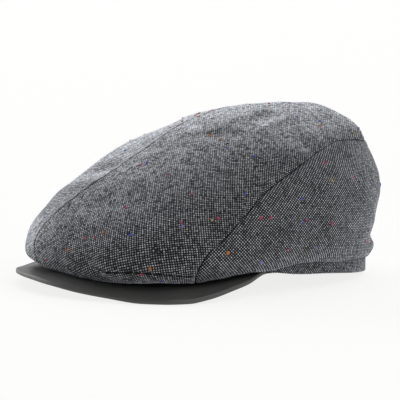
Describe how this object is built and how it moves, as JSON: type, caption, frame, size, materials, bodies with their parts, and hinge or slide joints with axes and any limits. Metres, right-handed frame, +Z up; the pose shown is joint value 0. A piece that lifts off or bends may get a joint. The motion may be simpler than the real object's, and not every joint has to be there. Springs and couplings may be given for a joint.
{
  "type": "slouch cap",
  "caption": "Flat cap lying at rest: soft tweed crown of one top panel and two side panels, plain band, stiff leather visor, open head hollow.",
  "frame": {"origin": "middle of the footprint, on the floor that the cap rests on", "axes": "+Z up, -Y towards the visor (front), +X towards the wearer's left"},
  "size_m": [0.1906, 0.2522, 0.1137],
  "materials": {
    "tweed": "grey and black tweed with fine coloured flecks, matt",
    "leather": "near-black smooth leather, satin"
  },
  "bodies": {
    "root": {"top_panel": "tweed", "side_panel_left": "tweed", "side_panel_right": "tweed", "band": "tweed", "visor_top": "leather", "visor_underside": "leather"}
  },
  "joints": []
}
